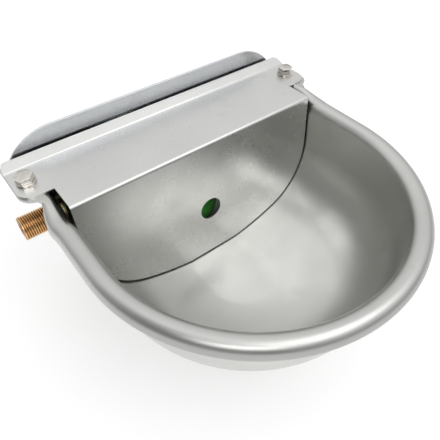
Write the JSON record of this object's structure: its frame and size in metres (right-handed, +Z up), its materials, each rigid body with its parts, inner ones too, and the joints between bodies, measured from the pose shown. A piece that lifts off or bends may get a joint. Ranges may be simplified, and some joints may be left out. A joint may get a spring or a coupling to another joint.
{
  "type": "livestock drinking bowl",
  "caption": "Pressed steel drinking bowl for a wall, with a bolted cover and apron over a brass float valve that refills it.",
  "frame": {"origin": "wall side of the mounting plate, midway between its two bolt holes", "axes": "+X to the right seen from the front, +Y into the wall along the bolts, +Z up"},
  "size_m": [0.309, 0.2788, 0.15],
  "materials": {
    "bowl_steel": "satin",
    "plate_steel": "satin",
    "cover_steel": "satin",
    "fastener_steel": "polished",
    "brass": "machined",
    "rubber": "matte",
    "float_plastic": "satin"
  },
  "bodies": {
    "base": {"bowl": "bowl_steel", "mounting_plate": "plate_steel", "cover": "cover_steel", "cover_bolts": "fastener_steel", "cover_washers": "fastener_steel", "weld_nuts": "fastener_steel", "valve_body": "brass", "inlet_gasket": "rubber", "backing_washer": "fastener_steel", "inlet_locknut": "brass", "valve_nozzle": "brass", "barrel_cap": "brass", "pivot_pin": "fastener_steel", "split_pin": "fastener_steel"},
    "piston": {"piston": "brass", "piston_seat": "rubber"},
    "float_arm": {"lever": "brass", "float_rod": "fastener_steel", "rod_locknut": "brass", "float_insert": "brass", "float": "float_plastic"}
  },
  "joints": [
    {"name": "float_hinge", "type": "hinge", "parent": "base", "child": "float_arm", "pos_m": [-0.09802, -0.045, -0.024], "axis": [0, -1, 0], "range_deg": [0, 30]},
    {"name": "piston_slide", "type": "slide", "parent": "base", "child": "piston", "axis": [-1, 0, 0], "range_m": [0, 0.00596]}
  ],
  "couplings": [
    {"joint": "piston_slide", "follows": "float_hinge", "m_per_rad": 0.011369}
  ]
}
